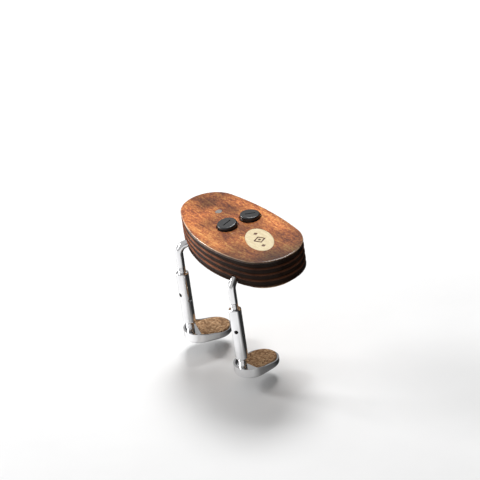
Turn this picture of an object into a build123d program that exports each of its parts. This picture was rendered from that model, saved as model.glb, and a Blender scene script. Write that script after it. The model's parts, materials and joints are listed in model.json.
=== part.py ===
from build123d import *
import math
import os

# A laminated wooden pod that clamps to the edge of a violin beside the chin rest. It holds a pickup's
# electronics. Two turnbuckle clamps hook into its base and grip the underside of the violin's edge.
#
# Frame: millimetres. The origin is on the underside of the base cork, which rests on the violin's belly.
# +Z is up, +X runs along the pod towards the tail of the violin, and the clamps are on the -Y side.

os.makedirs("parts", exist_ok=True)

# ---- driving dimensions: pod outline, an oval of four tangent arcs -------------------------------------
near_radius = 63.4          # bulged near side
near_apex_x = 2.5
near_y = -18.6
far_radius = 160.0          # almost straight far side
far_apex_x = 4.5
far_y = 16.6
left_end_radius = 12.7
right_end_radius = 16.0

# ---- driving dimensions: pod stack, from the belly up -------------------------------------------------
cork_height = 2.0
base_rim = 0.8
dark_ply = 1.75
light_ply = 1.10
top_rim = 1.3
groove_depth = 0.35         # how far the dark plies are set back
ply_round = 0.4             # rounding on the edges of the light plies
wall = 2.8
crown_radius = 1400.0       # the slightly crowned top is part of a sphere
crown_rise = 0.15           # how much higher the middle of the top is than its long sides
top_roll = 0.6              # rolled rim of the top board
edge_round = 0.3            # rounding on the boards' lower edges
base_inset = 0.1            # how far the base board's edge is behind the plies' faces
cork_inset = 3.0
boss_gap = 0.15             # between a board's locating boss and the side wall
top_boss = 1.0
base_boss = 0.8

base_bottom = cork_height
base_top = base_bottom + base_rim
rim_top = base_top + 4 * dark_ply + 3 * light_ply + top_rim
rim_bottom = rim_top - top_rim
cavity_top = rim_bottom - top_boss
cavity_floor = base_top + base_boss
apex = rim_top + crown_rise

# ---- driving dimensions: dials ------------------------------------------------------------------------
dial_radius = 4.3
dial_spots = {"far": (-3.4, 7.6), "near": (-4.4, -3.3)}
dial_tilts = {"near": 5.0, "far": -5.0}       # degrees about +X
pointer_angles = {"near": 101.0, "far": 66.0}
dial_proud = 1.7
dial_sunk = 0.6
dial_round = 0.7
recess_radius = 4.85
recess_depth = 1.0
shaft_radius = 1.5
shaft_hole_gap = 0.25
shaft_hole_depth = 5.0
shaft_length = 6.4
shaft_socket = 1.5          # how deep the shaft goes into the dial
pointer_length = 4.6
pointer_width = 0.5
pointer_depth = 0.3
running_gap = 0.05          # radial clearance of every shaft, thread and inlay

# ---- driving dimensions: badge, lens ------------------------------------------------------------------
badge_spot = (14.7, -0.4)
badge_long = 9.6
badge_short = 5.6
badge_angle = -17.0
badge_depth = 0.9
engraving_depth = 0.2
lens_spot = (-17.2, 1.2)
lens_radius = 1.5
lens_proud = 0.15
lens_flange = 0.7           # the flange under the board is this much wider and
lens_flange_height = 0.6    # this thick

# ---- driving dimensions: clamps -----------------------------------------------------------------------
rod_radius = 1.65
rod_gap = 0.12              # around the rod where it enters the pod
rod_height = 3.75           # axis of the hook's arm above the belly
hook_bend = 4.0
arm_length = 8.4            # from the barrel's axis to the tab
tab_length = 9.0
tab_width = 8.0
tab_thick = 1.6
thread_pitch = 0.6
thread_depth = 0.3
thread_shown = 3.0
engagement = 8.5            # thread inside each end of the barrel
barrel_radius = 2.65
barrel_top = -9.4
barrel_length = 24.4
key_hole_radius = 0.9
key_hole_middle = -20.9     # between the two key holes
key_hole_stagger = 1.4      # each key hole's distance above or below that
foot_top = -37.1            # the tray's rim at its heel
foot_bottom = -41.6
foot_radius = 7.3
foot_round = 1.1            # rounding under the tray
foot_reach = 4.3            # from the post to the centre of the foot's round outer end
foot_straight = 6.0
tray_wall = 0.8
seat_top = -38.3            # the floor of the tray's heel, under the post's shoulder
toe_floor = -40.2           # the floor under the cork
toe_start = 3.2             # where the lower floor begins, from the post
# the rim's line from the side: distances from the post and heights
rim_line = [(2.0, foot_top), (6.0, -38.1), (18.0, -39.2)]
foot_cork_height = 2.0
neck_radius = 1.3
rivet_radius = 1.5
rivet_gap = 0.2
rivet_height = 0.85
rivet_recess = 0.2          # how far the rivet's head is above the foot's underside
shoulder_gap = 0.05

# x and y are the barrel's axis. The angles, from +X, are the ways inward of the arm and the foot,
# and the way out of the upper key hole.
clamps = {
    "left": {"x": -23.2, "y": -17.2, "arm": 65.0, "foot": 71.0, "key": -88.0},
    "right": {"x": 17.7, "y": -18.9, "arm": 104.5, "foot": 98.0, "key": -51.0},
}

# ---- driving dimensions: electronics ------------------------------------------------------------------
board_bottom = 6.0
board_thick = 1.0
board_top = board_bottom + board_thick
pot_radius = 4.0
pot_height = 3.4
pot_gap = 0.4               # above the pot, and below the shaft's end inside it
battery_size = (20.0, 17.0, 4.0)
battery_spot = (14.5, 0.0)
socket_x = -14.0
socket_size = (9.0, 7.3, 3.2)
socket_inset = 0.6          # how far the socket's mouth is behind the wall's face
socket_gap = 0.2
socket_shell = 0.3
socket_back = 1.0           # thickness of the socket's back, and how far its tongue is behind its mouth
socket_tongue = (6.4, 0.7)
module_size = (9.0, 9.0, 1.9)
module_spot = (-26.5, 1.5)
piezo_radius = 6.0
piezo_thick = 0.5
sensor_spot = (-9.0, 4.0)
button_radius = 3.0
button_gap = 0.2


near_centre = Vector(near_apex_x, near_y + near_radius)
far_centre = Vector(far_apex_x, far_y - far_radius)


def end_centre(end_radius, side):
    """The centre of the end arc that touches the near and far arcs from inside. side is -1 or 1."""
    to_near, to_far = near_radius - end_radius, far_radius - end_radius
    spread = (near_centre - far_centre).length
    along = (to_far**2 - to_near**2 + spread**2) / (2 * spread)
    across = math.sqrt(to_far**2 - along**2)
    way = (near_centre - far_centre) / spread
    return far_centre + way * along + Vector(way.Y, -way.X) * across * side


left_centre = end_centre(left_end_radius, -1)
right_centre = end_centre(right_end_radius, 1)
left_tip = left_centre.X - left_end_radius
right_tip = right_centre.X + right_end_radius


def on_arc(centre, radius, towards):
    """The point of an arc in the direction of another point."""
    return centre + (towards - centre).normalized() * radius


def pod_outline(inset=0.0):
    """The pod's outline, set in by a distance, as a flat sketch."""
    near, far = near_radius - inset, far_radius - inset
    left, right = left_end_radius - inset, right_end_radius - inset
    near_left = on_arc(near_centre, near, left_centre)
    near_right = on_arc(near_centre, near, right_centre)
    far_left = on_arc(far_centre, far, left_centre)
    far_right = on_arc(far_centre, far, right_centre)
    with BuildSketch() as sketch:
        with BuildLine():
            ThreePointArc(near_left, near_centre - Vector(0, near), near_right)
            ThreePointArc(near_right, right_centre + Vector(right, 0), far_right)
            ThreePointArc(far_right, far_centre + Vector(0, far), far_left)
            ThreePointArc(far_left, left_centre - Vector(left, 0), near_left)
        make_face()
    return sketch.sketch


middle = Vector((right_tip + left_tip) / 2, (far_y + near_y) / 2)
crown_centre = Vector(middle.X, middle.Y, apex - crown_radius)


def surface_plane(x, y):
    """The plane that touches the crowned top above a point."""
    off_x, off_y = x - middle.X, y - middle.Y
    rise = math.sqrt(crown_radius**2 - off_x**2 - off_y**2)
    return Plane(
        origin=(x, y, crown_centre.Z + rise), x_dir=(rise, 0, -off_x), z_dir=(off_x, off_y, rise)
    )


def dial_plane(name):
    """The plane of a dial: on the top's surface, square to the dial's axis, X along the pointer."""
    x, y = dial_spots[name]
    tilt = math.radians(dial_tilts[name])
    turn = math.radians(pointer_angles[name])
    normal = Vector(0, -math.sin(tilt), math.cos(tilt))
    pointer = Vector(math.cos(turn), math.sin(turn), 0)
    pointer = (pointer - normal * pointer.dot(normal)).normalized()
    return Plane(origin=surface_plane(x, y).origin, x_dir=pointer, z_dir=normal)


def save(part, name):
    """Labels a finished piece and writes its file."""
    part.label = name
    export_step(part, f"parts/{name}.step")


# ---- cutting tools shared by several pieces -----------------------------------------------------------
def arm_plane(clamp):
    """The upright plane of a hook: X is the way inward, Y is up, and the barrel's axis is at X = 0."""
    turn = math.radians(clamp["arm"])
    inward = Vector(math.cos(turn), math.sin(turn), 0)
    return Plane(origin=(clamp["x"], clamp["y"], 0), x_dir=inward, z_dir=(inward.Y, -inward.X, 0))


def tab_plane(clamp, height):
    """A level plane at a height with its origin on the barrel's axis and X along the arm."""
    turn = math.radians(clamp["arm"])
    inward = (math.cos(turn), math.sin(turn), 0)
    return Plane(origin=(clamp["x"], clamp["y"], height), x_dir=inward, z_dir=(0, 0, 1))


hook_slot_half = rod_radius + rod_gap
with BuildPart() as hook_slots:
    for clamp in clamps.values():
        slot_plane = tab_plane(clamp, 0)
        with BuildSketch(slot_plane):
            with Locations((arm_length / 2, 0)):
                Rectangle(arm_length, 2 * hook_slot_half)
        extrude(amount=rod_height)
        with BuildSketch(Plane(slot_plane.origin, x_dir=slot_plane.y_dir, z_dir=slot_plane.x_dir)):
            with Locations((0, rod_height)):
                Circle(hook_slot_half)
        extrude(amount=arm_length)

socket_mouth_y = far_y - (socket_x - far_apex_x) ** 2 / (2 * far_radius)
with BuildPart() as socket_way:
    with BuildSketch(Plane.XZ.offset(-(socket_mouth_y - wall - 2.0))):
        with Locations((socket_x, board_top + socket_size[2] / 2)):
            Rectangle(socket_size[0] + socket_gap, socket_size[2] + socket_gap)
    extrude(amount=-10)

screw_inset = wall / 2
base_screw_spots = [
    (left_tip + screw_inset, left_centre.Y),
    (right_tip - screw_inset, right_centre.Y),
    (near_apex_x, near_y + screw_inset),
    (far_apex_x, far_y - screw_inset),
]
base_screw_radius = 0.8
base_screw_length = 5.0
base_screw_head = 1.2
base_screw_taper = 26.0     # degrees, so that the head narrows to the shank within the base board
screw_slot_depth = 0.4

# ---- side wall: plies -------------------------------------------------------------------------------
ply_names = [
    "dark_ply_4", "light_ply_3", "dark_ply_3", "light_ply_2", "dark_ply_2", "light_ply_1", "dark_ply_1",
]
ply_bottom = base_top
for ply_name in ply_names:
    is_dark = ply_name.startswith("dark")
    ply_height = dark_ply if is_dark else light_ply
    with BuildPart() as ply:
        with BuildSketch(Plane.XY.offset(ply_bottom)):
            add(pod_outline(groove_depth if is_dark else 0.0))
        extrude(amount=ply_height)
        if not is_dark:
            rims = ply.faces().filter_by(Axis.Z).edges()
            fillet(rims, ply_round)
        with BuildSketch(Plane.XY.offset(ply_bottom)):
            add(pod_outline(wall))
        extrude(amount=ply_height, mode=Mode.SUBTRACT)
        if ply_bottom < base_bottom + base_screw_length:
            with BuildSketch(Plane.XY.offset(base_bottom)):
                with Locations(*base_screw_spots):
                    Circle(base_screw_radius)
            extrude(amount=base_screw_length, mode=Mode.SUBTRACT)
        if ply_bottom < rod_height + hook_slot_half:
            add(hook_slots.part, mode=Mode.SUBTRACT)
        if ply_bottom + ply_height > board_top and ply_bottom < board_top + socket_size[2] + socket_gap:
            add(socket_way.part, mode=Mode.SUBTRACT)
    save(ply.part, ply_name)
    ply_bottom += ply_height

# ---- top board --------------------------------------------------------------------------------------
badge_plane = surface_plane(*badge_spot)
with BuildPart() as dial_holes:
    for dial_name in dial_spots:
        spot = dial_plane(dial_name)
        with BuildSketch(spot.offset(-recess_depth)):
            Circle(recess_radius)
        extrude(amount=recess_depth + 3)
        with BuildSketch(spot.offset(-shaft_hole_depth)):
            Circle(shaft_radius + shaft_hole_gap)
        extrude(amount=shaft_hole_depth)

inner_face = pod_outline(1.0).face()


def on_top_rim(edge):
    """Whether an edge is one of the outline's, at the top of the top board."""
    centre = edge.center()
    return centre.Z > rim_top - 0.5 and not inner_face.is_inside(Vector(centre.X, centre.Y, 0))


with BuildPart() as top_board:
    with BuildSketch(Plane.XY.offset(rim_bottom)):
        add(pod_outline())
    extrude(amount=apex + 1 - rim_bottom)
    fillet(top_board.faces().sort_by(Axis.Z)[0].edges(), edge_round)
    with BuildSketch(Plane.XY.offset(cavity_top)):
        add(pod_outline(wall + boss_gap))
    extrude(amount=top_boss)
    add(dial_holes.part, mode=Mode.SUBTRACT)
    with BuildSketch(Plane.XY.offset(cavity_top)):
        with Locations(lens_spot):
            Circle(lens_radius + running_gap)
    extrude(amount=apex + 1 - cavity_top, mode=Mode.SUBTRACT)
    with BuildSketch(badge_plane.offset(-badge_depth)):
        Ellipse(badge_long + running_gap, badge_short + running_gap, rotation=badge_angle)
    extrude(amount=badge_depth + 3, mode=Mode.SUBTRACT)
    with Locations(crown_centre):
        Sphere(crown_radius, rotation=(90, 0, 0), mode=Mode.INTERSECT)
    fillet(top_board.edges().filter_by(on_top_rim), top_roll)
save(top_board.part, "top_board")

# ---- badge inlay: an engraved row of a ringed lozenge between two plain ones ----------------------------
lozenge = 3.9
lozenge_ring = 2.5
lozenge_core = 1.2
side_lozenge = 1.5
side_lozenge_spot = 5.3
with BuildPart() as badge:
    with BuildSketch(badge_plane.offset(-badge_depth)):
        Ellipse(badge_long, badge_short, rotation=badge_angle)
    extrude(amount=badge_depth)
    fillet(badge.faces().sort_by(Axis.Z)[-1].edges(), 0.12)
    with BuildSketch(badge_plane.offset(-engraving_depth)):
        with Locations(Rotation(0, 0, badge_angle)):
            Rectangle(lozenge, lozenge, rotation=45)
            Rectangle(lozenge_ring, lozenge_ring, rotation=45, mode=Mode.SUBTRACT)
            Rectangle(lozenge_core, lozenge_core, rotation=45)
            with Locations((-side_lozenge_spot, 0), (side_lozenge_spot, 0)):
                Rectangle(side_lozenge, side_lozenge, rotation=45)
    extrude(amount=engraving_depth, mode=Mode.SUBTRACT)
save(badge.part, "badge_inlay")

# ---- status lens: a light guide from above the board to the top's surface -----------------------------
lens_surface = surface_plane(*lens_spot).origin.Z
lens_bottom = board_top + 1.2
with BuildPart() as lens:
    with BuildSketch(Plane.XY.offset(lens_bottom)):
        with Locations(lens_spot):
            Circle(lens_radius)
    extrude(amount=lens_surface + lens_proud - lens_bottom)
    fillet(lens.faces().sort_by(Axis.Z)[-1].edges(), 0.25)
    with BuildSketch(Plane.XY.offset(cavity_top - lens_flange_height)):
        with Locations(lens_spot):
            Circle(lens_radius + lens_flange)
    extrude(amount=lens_flange_height)
save(lens.part, "status_lens")

# ---- base board, its cork and its screws ---------------------------------------------------------------
hook_screw_spots = [2.5, 6.7]       # along the tab from the arm's end
hook_screw_radius = 1.0
hook_screw_head = 1.8
hook_screw_taper = 45.0     # degrees
hook_screw_end = 0.2        # how far the screw passes the tab


def hook_screw_planes(height):
    """Level planes at a height, one on the axis of each hook screw."""
    planes = []
    for clamp in clamps.values():
        level = tab_plane(clamp, height)
        for distance in hook_screw_spots:
            origin = level.origin + level.x_dir * (arm_length + distance)
            planes.append(Plane(origin, x_dir=level.x_dir, z_dir=(0, 0, 1)))
    return planes


with BuildPart() as base_board:
    with BuildSketch(Plane.XY.offset(base_bottom)):
        add(pod_outline(base_inset))
    extrude(amount=base_rim)
    fillet(base_board.faces().sort_by(Axis.Z)[0].edges(), edge_round)
    with BuildSketch(Plane.XY.offset(base_top)):
        add(pod_outline(wall + boss_gap))
    extrude(amount=base_boss)
    add(hook_slots.part, mode=Mode.SUBTRACT)
    with BuildSketch(Plane.XY.offset(base_bottom)):
        with Locations(*base_screw_spots):
            Circle(base_screw_head)
    extrude(amount=base_rim, taper=base_screw_taper, mode=Mode.SUBTRACT)
    for plane in hook_screw_planes(base_bottom):
        with BuildSketch(plane):
            Circle(hook_screw_head)
        extrude(amount=hook_screw_head - hook_screw_radius, taper=hook_screw_taper, mode=Mode.SUBTRACT)
        with BuildSketch(plane):
            Circle(hook_screw_radius)
        extrude(amount=base_rim + base_boss, mode=Mode.SUBTRACT)
    with BuildSketch(Plane.XY.offset(base_bottom)):
        with Locations(sensor_spot):
            Circle(button_radius + button_gap)
    extrude(amount=base_rim + base_boss, mode=Mode.SUBTRACT)
save(base_board.part, "base_board")

with BuildPart() as base_cork:
    with BuildSketch():
        add(pod_outline(cork_inset))
        with Locations(sensor_spot):
            Circle(button_radius + button_gap, mode=Mode.SUBTRACT)
    extrude(amount=cork_height)
    for clamp in clamps.values():
        with BuildSketch(tab_plane(clamp, 0)):
            with Locations((arm_length / 2, 0)):
                Rectangle(arm_length, 2 * hook_slot_half)
        extrude(amount=cork_height, mode=Mode.SUBTRACT)
save(base_cork.part, "base_cork")

with BuildPart() as base_screws:
    with BuildSketch(Plane.XY.offset(base_bottom)):
        with Locations(*base_screw_spots):
            Circle(base_screw_head)
    extrude(amount=base_rim, taper=base_screw_taper)
    with BuildSketch(Plane.XY.offset(base_bottom)):
        with Locations(*base_screw_spots):
            Circle(base_screw_radius)
    extrude(amount=base_screw_length)
    with BuildSketch(Plane.XY.offset(base_bottom)):
        with Locations(*base_screw_spots):
            Rectangle(1.5, 0.3)
            Rectangle(0.3, 1.5)
    extrude(amount=screw_slot_depth, mode=Mode.SUBTRACT)
save(base_screws.part, "base_screws")

tab_bottom = cavity_floor + 0.05
with BuildPart() as hook_screws:
    for plane in hook_screw_planes(base_bottom):
        with BuildSketch(plane):
            Circle(hook_screw_head)
        extrude(amount=hook_screw_head - hook_screw_radius, taper=hook_screw_taper)
        with BuildSketch(plane):
            Circle(hook_screw_radius)
        extrude(amount=tab_bottom + tab_thick + hook_screw_end - base_bottom)
        with BuildSketch(plane):
            Rectangle(2.0, 0.4)
            Rectangle(0.4, 2.0)
        extrude(amount=screw_slot_depth, mode=Mode.SUBTRACT)
save(hook_screws.part, "hook_screws")


# ---- clamps -------------------------------------------------------------------------------------------
def thread_profile(low, high):
    """Half of an upright rod's section with ring threads between two heights, for a revolve about Z."""
    root = rod_radius - thread_depth
    turns = int((high - low) / thread_pitch)
    points = [(0, low), (root, low)]
    for turn in range(turns):
        groove = low + turn * thread_pitch
        points.append((rod_radius, groove + 0.35 * thread_pitch))
        points.append((rod_radius, groove + 0.65 * thread_pitch))
        points.append((root, groove + thread_pitch))
    points.append((root, high))
    points.append((0, high))
    return points


barrel_bottom = barrel_top - barrel_length
bore_radius = rod_radius + running_gap
rod_end = barrel_top - engagement
post_top = barrel_bottom + engagement
thread_start = barrel_top + thread_shown
rivet_bottom = foot_bottom + rivet_recess
rivet_top = rivet_bottom + rivet_height
toe_end = foot_reach + foot_straight + foot_radius
arm_overlap = 1.0           # how far the rod runs onto the tab

for side, clamp in clamps.items():
    upright = arm_plane(clamp)

    with BuildPart() as hook:
        with BuildLine(upright) as arm_line:
            Line((arm_length + arm_overlap, rod_height), (hook_bend, rod_height))
            RadiusArc((hook_bend, rod_height), (0, rod_height - hook_bend), -hook_bend)
            Line((0, rod_height - hook_bend), (0, thread_start))
        arm_start = Plane(arm_line.line @ 0, z_dir=arm_line.line % 0)
        with BuildSketch(arm_start):
            Circle(rod_radius)
        sweep(path=arm_line.line)
        with BuildSketch(upright):
            with BuildLine():
                Polyline(*thread_profile(rod_end, thread_start), close=True)
            make_face()
        revolve(axis=Axis(upright.origin, (0, 0, 1)))
        with BuildSketch(tab_plane(clamp, tab_bottom)):
            with Locations((arm_length + tab_length / 2, 0)):
                RectangleRounded(tab_length, tab_width, 2.0)
        extrude(amount=tab_thick)
        with BuildSketch(tab_plane(clamp, tab_bottom)):
            with Locations(*[(arm_length + distance, 0) for distance in hook_screw_spots]):
                Circle(hook_screw_radius)
        extrude(amount=tab_thick, mode=Mode.SUBTRACT)
        with BuildSketch(tab_plane(clamp, base_bottom)):
            with Locations((arm_length + arm_overlap, 0)):
                Rectangle(2 * arm_overlap, 2 * hook_slot_half)
        extrude(amount=tab_bottom - base_bottom, mode=Mode.SUBTRACT)
    save(hook.part, f"{side}_hook")

    with BuildPart() as barrel:
        with BuildSketch(Plane((clamp["x"], clamp["y"], barrel_bottom))):
            Circle(barrel_radius)
        extrude(amount=barrel_length)
        chamfer(barrel.faces().sort_by(Axis.Z)[0].edges(), 0.8)
        chamfer(barrel.faces().sort_by(Axis.Z)[-1].edges(), 0.3)
        with BuildSketch(Plane((clamp["x"], clamp["y"], barrel_bottom))):
            Circle(bore_radius)
        extrude(amount=barrel_length, mode=Mode.SUBTRACT)
        for order in (0, 1):
            turn = math.radians(clamp["key"] + 90 * order)
            height = key_hole_middle + key_hole_stagger * (1 - 2 * order)
            way = (math.cos(turn), math.sin(turn), 0)
            with BuildSketch(Plane((clamp["x"], clamp["y"], height), z_dir=way)):
                Circle(key_hole_radius)
            extrude(amount=barrel_radius + 1, both=True, mode=Mode.SUBTRACT)
    save(barrel.part, f"{side}_barrel")

    with BuildPart() as post:
        with BuildSketch(upright):
            with BuildLine():
                Polyline(*thread_profile(seat_top + shoulder_gap, post_top), close=True)
            make_face()
        revolve(axis=Axis(upright.origin, (0, 0, 1)))
        with BuildSketch(Plane((clamp["x"], clamp["y"], rivet_bottom))):
            Circle(neck_radius)
        extrude(amount=seat_top + shoulder_gap - rivet_bottom)
        with BuildSketch(Plane((clamp["x"], clamp["y"], rivet_bottom))):
            Circle(rivet_radius)
        extrude(amount=rivet_height - shoulder_gap)
        fillet(post.faces().sort_by(Axis.Z)[0].edges(), 0.3)
    save(post.part, f"{side}_post")

    turn = math.radians(clamp["foot"])
    toe_way = (math.cos(turn), math.sin(turn), 0)
    foot_plane = Plane((clamp["x"], clamp["y"], foot_bottom), x_dir=toe_way, z_dir=(0, 0, 1))
    foot_side = Plane(
        (clamp["x"], clamp["y"], 0), x_dir=toe_way, z_dir=(math.sin(turn), -math.cos(turn), 0)
    )
    with BuildPart() as foot:
        with BuildSketch(foot_plane):
            with Locations((foot_reach + foot_straight / 2, 0)):
                SlotCenterToCenter(foot_straight, 2 * foot_radius)
        extrude(amount=foot_top - foot_bottom)
        fillet(foot.faces().sort_by(Axis.Z)[0].edges(), foot_round)
        with BuildSketch(foot_side):
            with BuildLine():
                Polyline(*rim_line, (toe_end + 1, foot_top + 1), (rim_line[0][0], foot_top + 1), close=True)
            make_face()
        extrude(amount=foot_radius + 1, both=True, mode=Mode.SUBTRACT)
        for floor, start in ((seat_top, foot_reach - foot_radius), (toe_floor, toe_start)):
            with BuildSketch(foot_plane.offset(floor - foot_bottom)):
                with Locations((foot_reach + foot_straight / 2, 0)):
                    SlotCenterToCenter(foot_straight, 2 * (foot_radius - tray_wall))
                with Locations((start, 0)):
                    Rectangle(toe_end, 2 * foot_radius, align=(Align.MIN, Align.CENTER), mode=Mode.INTERSECT)
            extrude(amount=foot_top - floor, mode=Mode.SUBTRACT)
        with BuildSketch(foot_plane):
            Circle(neck_radius + running_gap)
        extrude(amount=foot_top - foot_bottom, mode=Mode.SUBTRACT)
        with BuildSketch(foot_plane):
            Circle(rivet_radius + rivet_gap)
        extrude(amount=rivet_top - foot_bottom, mode=Mode.SUBTRACT)
    save(foot.part, f"{side}_foot")

    with BuildPart() as foot_cork:
        with BuildSketch(foot_plane.offset(toe_floor - foot_bottom)):
            with Locations((foot_reach + foot_straight / 2, 0)):
                SlotCenterToCenter(foot_straight, 2 * (foot_radius - tray_wall - running_gap))
            with Locations((toe_start + running_gap, 0)):
                Rectangle(toe_end, 2 * foot_radius, align=(Align.MIN, Align.CENTER), mode=Mode.INTERSECT)
        extrude(amount=foot_cork_height)
        fillet(foot_cork.faces().sort_by(Axis.Z)[-1].edges(), 0.3)
    save(foot_cork.part, f"{side}_foot_cork")

# ---- dials and their potentiometers ---------------------------------------------------------------------
for dial_name in dial_spots:
    spot = dial_plane(dial_name)
    spot_axis = Axis(spot.origin, spot.z_dir)

    with BuildPart() as cap:
        with BuildSketch(spot.offset(-dial_sunk)):
            Circle(dial_radius)
        extrude(amount=dial_proud + dial_sunk)
        rim = cap.edges().filter_by(GeomType.CIRCLE).sort_by(spot_axis)
        fillet(rim[-1], dial_round)
        fillet(rim[0], 0.25)
        with BuildSketch(spot.offset(dial_proud - pointer_depth)):
            SlotOverall(pointer_length, pointer_width)
        extrude(amount=pointer_depth, mode=Mode.SUBTRACT)
        with BuildSketch(spot.offset(-dial_sunk)):
            Circle(shaft_radius)
        extrude(amount=shaft_socket, mode=Mode.SUBTRACT)
    save(cap.part, f"{dial_name}_dial_cap")

    with BuildPart() as shaft:
        with BuildSketch(spot.offset(shaft_socket - dial_sunk)):
            Circle(shaft_radius)
        extrude(amount=-shaft_length)
        chamfer(shaft.edges().sort_by(spot_axis)[0], 0.3)
    save(shaft.part, f"{dial_name}_dial_shaft")

    pot_top = cavity_top - spot.origin.Z - pot_gap
    with BuildPart() as pot:
        with BuildSketch(spot.offset(pot_top)):
            Circle(pot_radius)
        extrude(amount=-pot_height)
        chamfer(pot.edges().sort_by(spot_axis)[-1], 0.3)
        with BuildSketch(spot.offset(pot_top)):
            Circle(shaft_radius + running_gap)
        extrude(amount=shaft_socket - dial_sunk - shaft_length - pot_gap - pot_top, mode=Mode.SUBTRACT)
    save(pot.part, f"{dial_name}_pot")

# ---- electronics ----------------------------------------------------------------------------------------
sensor_lead_spots = [(sensor_spot[0] - 2.0, sensor_spot[1]), (sensor_spot[0] + 2.0, sensor_spot[1])]
sensor_lead_radius = 0.3
board_edge_gap = 1.0
battery_gap = 0.1           # the adhesive pad under the battery
with BuildPart() as circuit_board:
    with BuildSketch(Plane.XY.offset(board_bottom)):
        add(pod_outline(wall + board_edge_gap))
    extrude(amount=board_thick)
    with BuildSketch(Plane.XY.offset(board_bottom)):
        with Locations(*sensor_lead_spots):
            Circle(sensor_lead_radius + running_gap)
    extrude(amount=board_thick, mode=Mode.SUBTRACT)
save(circuit_board.part, "circuit_board")

with BuildPart() as radio_module:
    with BuildSketch(Plane.XY.offset(board_top)):
        with Locations(module_spot):
            RectangleRounded(module_size[0], module_size[1], 0.6)
    extrude(amount=module_size[2])
    fillet(radio_module.faces().sort_by(Axis.Z)[-1].edges(), 0.3)
save(radio_module.part, "radio_module")

with BuildPart() as status_light:
    with BuildSketch(Plane.XY.offset(board_top)):
        with Locations(lens_spot):
            Rectangle(2.0, 1.25)
    extrude(amount=0.8)
    chamfer(status_light.faces().sort_by(Axis.Z)[-1].edges(), 0.15)
save(status_light.part, "status_light")

with BuildPart() as battery:
    with BuildSketch(Plane.XY.offset(board_top + battery_gap)):
        with Locations(battery_spot):
            RectangleRounded(battery_size[0], battery_size[1], 1.0)
    extrude(amount=battery_size[2])
    fillet(battery.edges().filter_by(Axis.Z, reverse=True), 0.8)
save(battery.part, "battery")

lead_radius = 0.4
lead_offsets = (5.0, 6.6)
lead_rise = 2.2             # where the leads leave the battery, above the board
lead_bend = 1.2
lead_start = battery_spot[0] - battery_size[0] / 2
lead_turn = lead_start - 0.5
lead_end = lead_turn - lead_bend
with BuildPart() as battery_leads:
    for offset in lead_offsets:
        lead_y = battery_spot[1] + offset
        lead_plane = Plane((0, lead_y, 0), x_dir=(1, 0, 0), z_dir=(0, -1, 0))
        with BuildLine(lead_plane) as lead:
            Line((lead_start, board_top + lead_rise), (lead_turn, board_top + lead_rise))
            RadiusArc(
                (lead_turn, board_top + lead_rise), (lead_end, board_top + lead_rise - lead_bend), -lead_bend
            )
            Line((lead_end, board_top + lead_rise - lead_bend), (lead_end, board_top))
        with BuildSketch(Plane(lead.line @ 0, z_dir=lead.line % 0)):
            Circle(lead_radius)
        sweep(path=lead.line)
save(battery_leads.part, "battery_leads")

with BuildPart() as charging_socket:
    mouth_centre = (socket_x, socket_mouth_y - socket_inset, board_top + socket_size[2] / 2)
    mouth = Plane(mouth_centre, x_dir=(1, 0, 0), z_dir=(0, 1, 0))
    with BuildSketch(mouth):
        RectangleRounded(socket_size[0], socket_size[2], 1.4)
    extrude(amount=-socket_size[1])
    with BuildSketch(mouth):
        RectangleRounded(socket_size[0] - 2 * socket_shell, socket_size[2] - 2 * socket_shell, 1.1)
    extrude(amount=-(socket_size[1] - socket_back), mode=Mode.SUBTRACT)
    with BuildSketch(mouth.offset(-socket_size[1] + socket_back)):
        Rectangle(*socket_tongue)
    extrude(amount=socket_size[1] - 2 * socket_back)
save(charging_socket.part, "charging_socket")

sensor_level = cavity_floor
with BuildPart() as sensor_button:
    with BuildSketch():
        with Locations(sensor_spot):
            Circle(button_radius)
    extrude(amount=sensor_level)
    chamfer(sensor_button.faces().sort_by(Axis.Z)[0].edges(), 0.3)
save(sensor_button.part, "sensor_button")

with BuildPart() as sensor_disc:
    with BuildSketch(Plane.XY.offset(sensor_level)):
        with Locations(sensor_spot):
            Circle(piezo_radius)
    extrude(amount=piezo_thick)
save(sensor_disc.part, "sensor_disc")

with BuildPart() as sensor_leads:
    with BuildSketch(Plane.XY.offset(sensor_level + piezo_thick)):
        with Locations(*sensor_lead_spots):
            Circle(sensor_lead_radius)
    extrude(amount=board_top - sensor_level - piezo_thick)
save(sensor_leads.part, "sensor_leads")
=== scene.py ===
"""A wooden violin pickup pod on two chromed turnbuckle clamps, in soft studio light."""

import json
import math

import bpy
from mathutils import Matrix, Vector


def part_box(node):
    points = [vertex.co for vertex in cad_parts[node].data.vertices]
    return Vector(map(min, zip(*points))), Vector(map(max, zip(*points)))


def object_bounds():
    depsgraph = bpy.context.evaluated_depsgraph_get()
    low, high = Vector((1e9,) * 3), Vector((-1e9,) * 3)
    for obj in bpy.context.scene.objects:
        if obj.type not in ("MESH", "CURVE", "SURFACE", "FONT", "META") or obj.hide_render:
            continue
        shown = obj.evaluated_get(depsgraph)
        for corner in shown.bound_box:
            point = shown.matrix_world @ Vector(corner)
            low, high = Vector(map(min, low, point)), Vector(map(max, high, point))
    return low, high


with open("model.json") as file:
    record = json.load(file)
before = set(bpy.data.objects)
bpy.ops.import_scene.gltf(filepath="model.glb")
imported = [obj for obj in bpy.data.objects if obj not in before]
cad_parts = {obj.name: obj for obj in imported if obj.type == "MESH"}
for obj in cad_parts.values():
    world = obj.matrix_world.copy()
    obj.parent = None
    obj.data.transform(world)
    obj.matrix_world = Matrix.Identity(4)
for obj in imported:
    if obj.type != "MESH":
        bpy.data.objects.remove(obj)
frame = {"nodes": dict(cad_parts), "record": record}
cad_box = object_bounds()
nodes = frame["nodes"]
MM = 0.001


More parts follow.
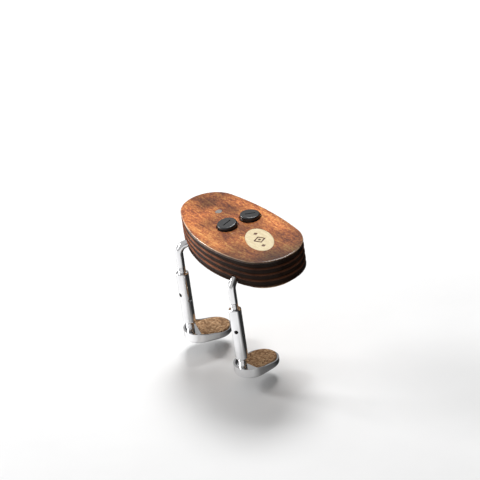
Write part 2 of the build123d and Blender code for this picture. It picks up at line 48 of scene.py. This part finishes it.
# ---- camera ------------------------------------------------------------------------------------
AZIMUTH = math.radians(59.0)
ELEVATION = math.radians(30.0)
ROLL = math.radians(8.4)
DISTANCE = 3.0
VIEW_WIDTH = 0.1995
FRAMING = Vector((0.0, -0.0054))    # where the view's centre is from the middle of the pod's top
CROWN = 0.15 * MM                   # the top board's rise above its own edge
SENSOR = 36.0

# ---- studio ------------------------------------------------------------------------------------
PALE = 0.90                         # the backdrop as the eye sees it
FLOOR_SIZE = 3.0
FOOT_DROP = 6.0 * MM                # the feet's travel downwards, which the floor leaves free

# soft boxes that look at the pod: name, azimuth, elevation, distance, size and power
LAMPS = [
    ("key_box", 222, 58, 0.9, 0.34, 6.9),
    ("rim_box", 298, 27, 0.8, 0.20, 2.8),
    ("left_box", -25, 20, 0.8, 0.4, 0.7),
]

# how bright the sky is, and the painted shade of the floor's mirror image, from the studio's bright
# side to its dim one
DIM_SIDE = (0.50, 0.84, -0.20)
SKY_LEVELS = [(0.38, 0.50), (0.56, 0.16), (0.70, 0.04)]
FLOOR_REACH = 240                   # the width in mm that the floor's levels are spread over
FLOOR_LEVELS = [(0.40, 0.86), (0.46, 0.28), (0.53, 0.02)]

# ---- wood --------------------------------------------------------------------------------------
# smoky patches of the top board: x, y and radius in mm, and how dark the middle is
SMOKE_PATCHES = [
    (-27, 3, 9.0, 0.30),
    (-14, 5, 7.0, 0.42),
    (-12, -5, 7.0, 0.50),
    (1, -8, 9.0, 0.50),
    (3, 3, 9.0, 0.45),
    (14, -11, 8.0, 0.50),
    (28, -4, 8.0, 0.42),
    (18, 7, 6.0, 0.60),
    (29, 6, 7.0, 0.72),
]
SMOKE_WANDER = 8.0                  # how far in mm their edges stray
OUTLINE_POWER = 2.3                 # the pod's outline as a rounded square, where 2 is an ellipse
PIGMENT_FADE = 1 / 12               # the pigment starts this deep in mm and is full at twice that
# the pale colour of the painted highlight along the top board's rolled rim
RIM_HIGHLIGHT_COLOUR = (0.95, 0.66, 0.46)
CORNER_SHADE_DIRECTION = (0.86, -0.51, 0)  # from the middle of the pod to the corner that gets painted shade
CORNER_SHADE_START = 12                    # how far out the painted shade starts, in mm
CORNER_SHADE_WIDTH = 16
END_SHADE_WIDTH = 40                    # how far in mm the painted shade of the side walls takes to deepen
END_SHADE_WANDER = 16.0


def place_camera():
    """A view from above the clamps' side, rolled a little, with a slight perspective."""
    right = Vector((math.cos(AZIMUTH), math.sin(AZIMUTH), 0))
    back = Vector(
        (
            math.sin(AZIMUTH) * math.cos(ELEVATION),
            -math.cos(AZIMUTH) * math.cos(ELEVATION),
            math.sin(ELEVATION),
        )
    )
    up = back.cross(right)
    rolled_right = right * math.cos(ROLL) - up * math.sin(ROLL)
    rolled_up = right * math.sin(ROLL) + up * math.cos(ROLL)
    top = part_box("top_board")[1].z - CROWN
    target = Vector((0, 0, top)) + rolled_right * FRAMING.x + rolled_up * FRAMING.y
    data = bpy.data.cameras.new("camera")
    data.sensor_width = SENSOR
    data.lens = SENSOR * DISTANCE / VIEW_WIDTH
    data.clip_start = 0.01
    camera = bpy.data.objects.new("camera", data)
    bpy.context.scene.collection.objects.link(camera)
    camera.matrix_world = Matrix.Translation(target + back * DISTANCE) @ Matrix(
        (rolled_right, rolled_up, back)
    ).transposed().to_4x4()
    bpy.context.scene.camera = camera


def soft_box(name, azimuth, elevation, distance, size, power):
    """A square lamp that looks at the pod. Its angles are those of a camera in its place."""
    turn, rise = math.radians(azimuth), math.radians(elevation)
    back = Vector(
        (math.sin(turn) * math.cos(rise), -math.cos(turn) * math.cos(rise), math.sin(rise))
    )
    data = bpy.data.lights.new(name, "AREA")
    data.size = size
    data.energy = power
    lamp = bpy.data.objects.new(name, data)
    bpy.context.scene.collection.objects.link(lamp)
    lamp.location = back * distance
    lamp.rotation_euler = back.to_track_quat("Z", "Y").to_euler()


def build_sky():
    """A studio that is bright on the left and dim on the right. To the eye it is plain and pale."""
    world = bpy.data.worlds.new("studio")
    world.use_nodes = True
    tree = world.node_tree
    sky = tree.nodes["Background"]
    sky.inputs["Strength"].default_value = 1.0
    side = tree.nodes.new("ShaderNodeVectorMath")
    side.operation = "DOT_PRODUCT"
    side.inputs[1].default_value = DIM_SIDE
    ramp = tree.nodes.new("ShaderNodeValToRGB")
    ramp.color_ramp.elements.new(0.5)
    for element, (position, level) in zip(ramp.color_ramp.elements, SKY_LEVELS):
        element.position = position
        element.color = (level, level, level, 1)
    seen = tree.nodes.new("ShaderNodeMix")
    seen.data_type = "RGBA"
    sockets = {socket.identifier: socket for socket in seen.inputs}
    sockets["B_Color"].default_value = (PALE, PALE, PALE, 1)
    half = tree.nodes.new("ShaderNodeMath")
    half.operation = "MULTIPLY_ADD"
    half.inputs[1].default_value = 0.5
    half.inputs[2].default_value = 0.5
    links = tree.links
    links.new(tree.nodes.new("ShaderNodeTexCoord").outputs["Generated"], side.inputs[0])
    links.new(side.outputs["Value"], half.inputs[0])
    links.new(half.outputs["Value"], ramp.inputs["Fac"])
    rays = tree.nodes.new("ShaderNodeLightPath")
    links.new(rays.outputs["Is Camera Ray"], sockets["Factor_Float"])
    links.new(ramp.outputs["Color"], sockets["A_Color"])
    results = {socket.identifier: socket for socket in seen.outputs}
    links.new(results["Result_Color"], sky.inputs["Color"])
    bpy.context.scene.world = world


def build_studio():
    """The sky, the soft boxes, and a pale floor at the feet's lowest place, whose mirror image
    carries painted shade.
    """
    build_sky()
    bpy.context.scene.view_settings.view_transform = "Standard"
    for lamp in LAMPS:
        soft_box(*lamp)
    level = Vector(cad_box[0]).z - FOOT_DROP
    corners = [(-1, -1), (1, -1), (1, 1), (-1, 1)]
    mesh = bpy.data.meshes.new("floor")
    points = [(x * FLOOR_SIZE, y * FLOOR_SIZE, level) for x, y in corners]
    mesh.from_pydata(points, [], [(0, 1, 2, 3)])
    floor = bpy.data.objects.new("floor", mesh)
    bpy.context.scene.collection.objects.link(floor)
    shader = Shader("floor", Roughness=0.6, Specular_IOR_Level=0.1)
    pale = shader.ramp(shader.noise(0.02, 3), [(0.3, 0.82), (0.7, 0.85)])
    # the floor's mirror image carries painted shade, dark on the studio's dim side; to the eye the
    # floor stays evenly pale
    reach = shader.along((0, 1, 0), Vector((0, 0, 0)))
    mirrored_shade = shader.ramp(shader.math("MULTIPLY_ADD", reach, 1 / FLOOR_REACH, 0.5), FLOOR_LEVELS)
    glossy = shader.node("LightPath").outputs["Is Glossy Ray"]
    shader.paint(shader.mix(glossy, pale, mirrored_shade))
    mesh.materials.append(shader.material)


# ---- materials ---------------------------------------------------------------------------------
class Shader:
    """A material in the making, wired to one Principled shader. Scales are per millimetre."""

    def __init__(self, name, **sockets):
        self.material = bpy.data.materials.new(name)
        self.material.use_nodes = True
        self.tree = self.material.node_tree
        self.surface = self.tree.nodes["Principled BSDF"]
        for socket, value in sockets.items():
            self.surface.inputs[socket.replace("_", " ")].default_value = value

    def node(self, kind, **settings):
        made = self.tree.nodes.new("ShaderNode" + kind)
        for key, value in settings.items():
            setattr(made, key, value)
        return made

    def link(self, output, socket):
        self.tree.links.new(output, socket)

    def place(self, stretch=(1, 1, 1), shift=(0, 0, 0)):
        """Object coordinates in millimetres, stretched along each axis."""
        mapping = self.node("Mapping")
        mapping.inputs["Scale"].default_value = [axis / MM for axis in stretch]
        mapping.inputs["Location"].default_value = shift
        self.link(self.node("TexCoord").outputs["Object"], mapping.inputs["Vector"])
        return mapping.outputs["Vector"]

    def noise(
        self, scale, detail=4, stretch=(1, 1, 1), roughness=0.55, distortion=0.0, shift=(0, 0, 0)
    ):
        made = self.node("TexNoise")
        made.inputs["Scale"].default_value = scale
        made.inputs["Detail"].default_value = detail
        made.inputs["Roughness"].default_value = roughness
        made.inputs["Distortion"].default_value = distortion
        self.link(self.place(stretch, shift), made.inputs["Vector"])
        return made.outputs["Fac"]

    def cells(self, scale, stretch=(1, 1, 1), output="Distance", feature="F1"):
        made = self.node("TexVoronoi", feature=feature)
        made.inputs["Scale"].default_value = scale
        self.link(self.place(stretch), made.inputs["Vector"])
        return made.outputs[output]

    def ramp(self, factor, stops):
        made = self.node("ValToRGB")
        for _ in stops[2:]:
            made.color_ramp.elements.new(0.5)
        for element, (position, colour) in zip(made.color_ramp.elements, stops):
            element.position = position
            grey = isinstance(colour, (int, float))
            element.color = (colour, colour, colour, 1) if grey else (*colour, 1)
        self.link(factor, made.inputs["Fac"])
        return made.outputs["Color"]

    def math(self, operation, first, second, third=None, clamp=False):
        made = self.node("Math", operation=operation, use_clamp=clamp)
        for socket, value in zip(made.inputs, (first, second, third)):
            if value is None:
                continue
            if isinstance(value, (int, float)):
                socket.default_value = value
            else:
                self.link(value, socket)
        return made.outputs["Value"]

    def mix(self, factor, first, second, blend="MIX"):
        made = self.node("Mix", data_type="RGBA", blend_type=blend)
        sockets = [s for s in made.inputs if s.enabled]
        for socket, value in zip(sockets, (factor, first, second)):
            if isinstance(value, (int, float)):
                socket.default_value = value
            elif isinstance(value, tuple):
                socket.default_value = (*value, 1)
            else:
                self.link(value, socket)
        return [s for s in made.outputs if s.enabled][0]

    def along(self, direction, origin):
        """How far a point is from an origin along a direction, in millimetres."""
        shifted = self.node("VectorMath", operation="SUBTRACT")
        shifted.inputs[1].default_value = origin
        self.link(self.node("TexCoord").outputs["Object"], shifted.inputs[0])
        dot = self.node("VectorMath", operation="DOT_PRODUCT")
        dot.inputs[1].default_value = Vector(direction) / MM
        self.link(shifted.outputs["Vector"], dot.inputs[0])
        return dot.outputs["Value"]

    def upward(self):
        """How far a face looks up: 0 where it is upright and 1 where it is level."""
        normal = self.node("SeparateXYZ")
        self.link(self.node("TexCoord").outputs["Normal"], normal.inputs["Vector"])
        return normal.outputs["Z"]

    def wall_shade(self):
        """Dark on upright faces and 1 on level ones: painted shade on the side walls."""
        return self.ramp(self.upward(), [(0.30, 0.22), (0.60, 1.0)])

    def painted_highlight_band(self):
        """Painted highlight: high halfway round a rolled edge and 0 on the faces that it joins."""
        return self.ramp(self.upward(), [(0.30, 0.0), (0.55, 0.85), (0.80, 0.85), (0.97, 0.0)])

    def paint(self, colour):
        self.link(colour, self.surface.inputs["Base Color"])

    def polish(self, roughness):
        self.link(roughness, self.surface.inputs["Roughness"])

    def bump(self, height, depth, strength=1.0):
        """Relief of a depth in millimetres."""
        made = self.node("Bump")
        made.inputs["Strength"].default_value = strength
        made.inputs["Distance"].default_value = depth * MM
        self.link(height, made.inputs["Height"])
        self.link(made.outputs["Normal"], self.surface.inputs["Normal"])


def pod_rim(shader):
    """From 0 in the middle of the pod to 1 at its outline, seen from above."""
    low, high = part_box("top_board")
    middle = (low + high) / 2
    half = (high - low) / 2
    squares = []
    for axis, reach in ((0, half.x), (1, half.y)):
        direction = Vector((0, 0, 0))
        direction[axis] = 1
        distance = shader.math("DIVIDE", shader.along(direction, middle), reach / MM)
        squares.append(shader.math("POWER", shader.math("ABSOLUTE", distance, 0), OUTLINE_POWER))
    return shader.math("ADD", squares[0], squares[1])


def smoke_patches(shader):
    """Smoky patches of the top board: 1 in clear wood and darker within each ragged patch."""
    wander = shader.node("TexNoise")
    wander.inputs["Scale"].default_value = 0.16
    wander.inputs["Detail"].default_value = 5
    shader.link(shader.place(), wander.inputs["Vector"])
    spread = shader.node("VectorMath", operation="MULTIPLY_ADD")
    spread.inputs[1].default_value = (SMOKE_WANDER,) * 3
    shader.link(wander.outputs["Color"], spread.inputs[0])
    centred = (-SMOKE_WANDER / 2, -SMOKE_WANDER / 2, 0)
    shader.link(shader.place((1, 1, 0), centred), spread.inputs[2])
    shade = None
    for x, y, radius, level in SMOKE_PATCHES:
        gap = shader.node("VectorMath", operation="DISTANCE")
        gap.inputs[1].default_value = (x, y, SMOKE_WANDER / 2)
        shader.link(spread.outputs["Vector"], gap.inputs[0])
        width = shader.math("DIVIDE", gap.outputs["Value"], radius * 2)
        patch = shader.ramp(width, [(0.15, level), (0.60, 1.0)])
        shade = patch if shade is None else shader.mix(1.0, shade, patch, "MULTIPLY")
    return shade


def figured_wood(name):
    """Lacquered burr wood: golden flecks and smoky patches, with a painted highlight along the
    rolled rim and painted shade toward the outline, the right corner on the clamps' side and the
    upright faces.
    """
    shader = Shader(name, Coat_Weight=0.55, Coat_Roughness=0.06, Specular_IOR_Level=0.15)
    clouds = shader.noise(0.060, 2, stretch=(0.9, 1.2, 1), distortion=0.4, shift=(3.0, 1.0, 0))
    flecks = shader.noise(1.35, 3, stretch=(0.55, 1, 1), roughness=0.75)
    rows = shader.noise(0.45, 5, stretch=(0.16, 1, 1), roughness=0.65, distortion=0.8)
    body = shader.math("MULTIPLY_ADD", flecks, 0.52, shader.math("MULTIPLY", clouds, 0.18))
    body = shader.math("MULTIPLY_ADD", rows, 0.34, body)
    colour = shader.ramp(
        body,
        [
            (0.40, (0.200, 0.050, 0.022)),
            (0.47, (0.420, 0.112, 0.038)),
            (0.52, (0.640, 0.195, 0.055)),
            (0.57, (0.850, 0.310, 0.085)),
            (0.63, (1.000, 0.540, 0.170)),
        ],
    )
    pores = shader.cells(1.25, stretch=(0.30, 1.1, 1))
    dashes = shader.ramp(pores, [(0.06, 0.42), (0.20, 1.0)])
    colour = shader.mix(0.75, colour, dashes, "MULTIPLY")
    smoke = shader.ramp(clouds, [(0.38, 0.80), (0.50, 1.0)])
    colour = shader.mix(1.0, colour, smoke, "MULTIPLY")
    colour = shader.mix(1.0, colour, smoke_patches(shader), "MULTIPLY")
    # painted shade: the top board darkens toward its outline
    rim = shader.ramp(pod_rim(shader), [(0.62, 1.0), (1.05, 0.55)])
    colour = shader.mix(1.0, colour, rim, "MULTIPLY")
    # painted highlight: a pale line halfway round the rolled rim, broken up by the rows
    uneven = shader.ramp(rows, [(0.40, 0.25), (0.55, 1.0)])
    rim_highlight = shader.math("MULTIPLY", shader.painted_highlight_band(), uneven)
    colour = shader.mix(rim_highlight, colour, RIM_HIGHLIGHT_COLOUR)
    # painted shade: the top board darkens toward the right corner on the clamps' side
    corner_shade = shader.ramp(painted_corner_shade(shader), [(0.0, 1.0), (1.0, 0.34)])
    colour = shader.mix(1.0, colour, corner_shade, "MULTIPLY")
    # painted shade: the upright faces of the top board are darkened
    shader.paint(shader.mix(1.0, colour, shader.wall_shade(), "MULTIPLY"))
    shader.polish(shader.ramp(flecks, [(0.3, 0.42), (0.7, 0.30)]))
    shader.bump(shader.math("MULTIPLY_ADD", rows, 0.5, flecks), 0.03, 0.4)
    return shader.material


def painted_corner_shade(shader):
    """Painted shade: from 0 at the middle of the pod to 1 at the right corner on the clamps' side.
    """
    low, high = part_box("top_board")
    middle = (low + high) / 2
    reach = shader.along(CORNER_SHADE_DIRECTION, middle)
    start = -CORNER_SHADE_START / CORNER_SHADE_WIDTH
    return shader.math("MULTIPLY_ADD", reach, 1 / CORNER_SHADE_WIDTH, start, clamp=True)


def veneer(name, deep, shallow, end_shade_level=0.25):
    """One ply of lacquered veneer, its fibres along the wall, with painted shade that darkens it
    towards +X.
    """
    shader = Shader(name, Coat_Weight=0.03, Coat_Roughness=0.15, Specular_IOR_Level=0.06)
    fibres = shader.noise(1.0, 5, stretch=(0.25, 0.25, 5.0), roughness=0.65)
    bands = shader.noise(0.10, 4, roughness=0.7)
    tone = shader.math("MULTIPLY_ADD", fibres, 0.5, shader.math("MULTIPLY", bands, 0.5))
    colour = shader.ramp(tone, [(0.38, deep), (0.62, shallow)])
    # painted shade: the ply darkens towards +X, along a wandering edge
    low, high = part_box("top_board")
    reach = shader.along((1, 0, 0), (low + high) / 2)
    reach = shader.math("MULTIPLY_ADD", shader.noise(0.25, 3), END_SHADE_WANDER, reach)
    reach = shader.math("MULTIPLY_ADD", reach, 1 / END_SHADE_WIDTH, 0.1)
    end_shade = shader.ramp(reach, [(0.25, 1.0), (0.75, end_shade_level)])
    shader.paint(shader.mix(1.0, colour, end_shade, "MULTIPLY"))
    shader.polish(shader.ramp(fibres, [(0.3, 0.5), (0.7, 0.34)]))
    shader.bump(fibres, 0.05, 0.5)
    return shader.material


def cork(name):
    """Pressed cork: tan granules of different browns with dark seams."""
    shader = Shader(name, Roughness=0.85, Specular_IOR_Level=0.25)
    grains = shader.cells(1.1, output="Color")
    separate = shader.node("SeparateColor")
    shader.link(grains, separate.inputs["Color"])
    granule = shader.math("MULTIPLY", separate.outputs["Red"], 0.5)
    tone = shader.math("MULTIPLY_ADD", shader.noise(2.5, 5), 0.5, granule)
    colour = shader.ramp(
        tone,
        [
            (0.25, (0.20, 0.105, 0.050)),
            (0.50, (0.42, 0.245, 0.125)),
            (0.75, (0.60, 0.390, 0.220)),
        ],
    )
    edges = shader.cells(1.1, feature="DISTANCE_TO_EDGE")
    seams = shader.ramp(edges, [(0.02, 0.45), (0.09, 1.0)])
    shader.paint(shader.mix(0.8, colour, seams, "MULTIPLY"))
    shader.bump(shader.math("MULTIPLY", seams, tone), 0.15, 0.8)
    return shader.material


def metal(name, colour, rough, smudge, grain=(1, 1, 1), depth=0.004):
    """Polished or turned metal with faint smudges and fine marks."""
    shader = Shader(name, Metallic=1.0)
    cloud = shader.noise(0.16, 4)
    marks = shader.noise(6.0, 4, stretch=grain)
    shade = tuple(part * 0.90 for part in colour)
    shader.paint(shader.ramp(cloud, [(0.3, shade), (0.7, colour)]))
    shader.polish(shader.ramp(cloud, [(0.3, rough), (0.7, rough + smudge)]))
    shader.bump(marks, depth, 0.35)
    return shader.material


def moulding(name, dark, light, rough, depth=0.02, coat=0.0):
    """Moulded plastic with a fine grain."""
    shader = Shader(name, Coat_Weight=coat, Coat_Roughness=0.1)
    grain = shader.noise(4.0, 4)
    cloud = shader.noise(0.15, 3)
    shader.paint(shader.ramp(cloud, [(0.35, dark), (0.65, light)]))
    shader.polish(shader.ramp(grain, [(0.3, rough * 0.85), (0.7, rough * 1.15)]))
    shader.bump(grain, depth, 0.4)
    return shader.material


def inlay(name):
    """Pale ivory with dark pigment in its engraving, which is lower than the face."""
    shader = Shader(name, Coat_Weight=0.3, Coat_Roughness=0.2)
    tops = [p for p in nodes["badge_inlay"].data.polygons if p.normal.z > 0.99]
    face = max(tops, key=lambda polygon: polygon.area)
    depth = shader.along(face.normal, face.center)
    grain = shader.noise(0.9, 6, stretch=(0.3, 1, 1), roughness=0.7)
    ivory = shader.ramp(grain, [(0.3, (0.60, 0.47, 0.26)), (0.7, (0.82, 0.71, 0.46))])
    pigment = shader.ramp(grain, [(0.3, (0.10, 0.035, 0.018)), (0.7, (0.20, 0.075, 0.035))])
    cut = shader.math("MULTIPLY_ADD", depth, -1 / PIGMENT_FADE, -1.0, clamp=True)
    shader.paint(shader.mix(cut, ivory, pigment))
    shader.polish(shader.ramp(grain, [(0.3, 0.45), (0.7, 0.32)]))
    shader.bump(grain, 0.02, 0.4)
    return shader.material


def make_materials():
    """One material for each slot of the record."""
    return {
        "walnut_top": figured_wood("figured_wood"),
        "dark_veneer": veneer("dark_veneer", (0.012, 0.006, 0.004), (0.050, 0.024, 0.014), 0.45),
        "light_veneer": veneer("light_veneer", (0.14, 0.045, 0.022), (0.42, 0.150, 0.068), 0.20),
        "base_wood": veneer("base_wood", (0.030, 0.014, 0.008), (0.10, 0.048, 0.026), 0.5),
        "cork": cork("cork"),
        "chrome_steel": metal("chrome_steel", (0.93, 0.93, 0.94), 0.05, 0.06),
        "plated_screw": metal("plated_screw", (0.62, 0.62, 0.60), 0.28, 0.1, depth=0.01),
        "dial_plastic": moulding(
            "dial_plastic", (0.012, 0.012, 0.013), (0.024, 0.024, 0.026), 0.34, coat=0.15
        ),
        "ivory_inlay": inlay("ivory_inlay"),
        "lens": moulding("lens", (0.25, 0.22, 0.20), (0.34, 0.30, 0.28), 0.25, 0.005, 0.4),
        "board_green": moulding("board_green", (0.02, 0.13, 0.06), (0.04, 0.19, 0.09), 0.4),
        "module_can": metal("module_can", (0.70, 0.70, 0.68), 0.25, 0.1),
        "pouch_cell": moulding("pouch_cell", (0.50, 0.51, 0.53), (0.66, 0.67, 0.69), 0.3, 0.05),
        "shaft_steel": metal("shaft_steel", (0.60, 0.60, 0.62), 0.25, 0.1, (0.1, 0.1, 4)),
        "pot_body": metal("pot_body", (0.55, 0.56, 0.57), 0.3, 0.1),
        "led": moulding("led", (0.72, 0.74, 0.50), (0.82, 0.84, 0.58), 0.2, 0.003),
        "socket_steel": metal("socket_steel", (0.66, 0.66, 0.68), 0.25, 0.1),
        "piezo_brass": metal("piezo_brass", (0.78, 0.58, 0.27), 0.3, 0.15),
        "button_plastic": moulding("button_plastic", (0.05, 0.05, 0.055), (0.10, 0.10, 0.11), 0.45),
        "lead_wire": moulding("lead_wire", (0.42, 0.03, 0.02), (0.58, 0.05, 0.04), 0.4),
    }


def dress_nodes():
    """Gives every CAD node its slot's material."""
    materials = make_materials()
    for row in frame["record"]["subparts"]:
        node = nodes[row["node"]]
        node.data.materials.clear()
        node.data.materials.append(materials[row["material_slot"]])


place_camera()
build_studio()
dress_nodes()
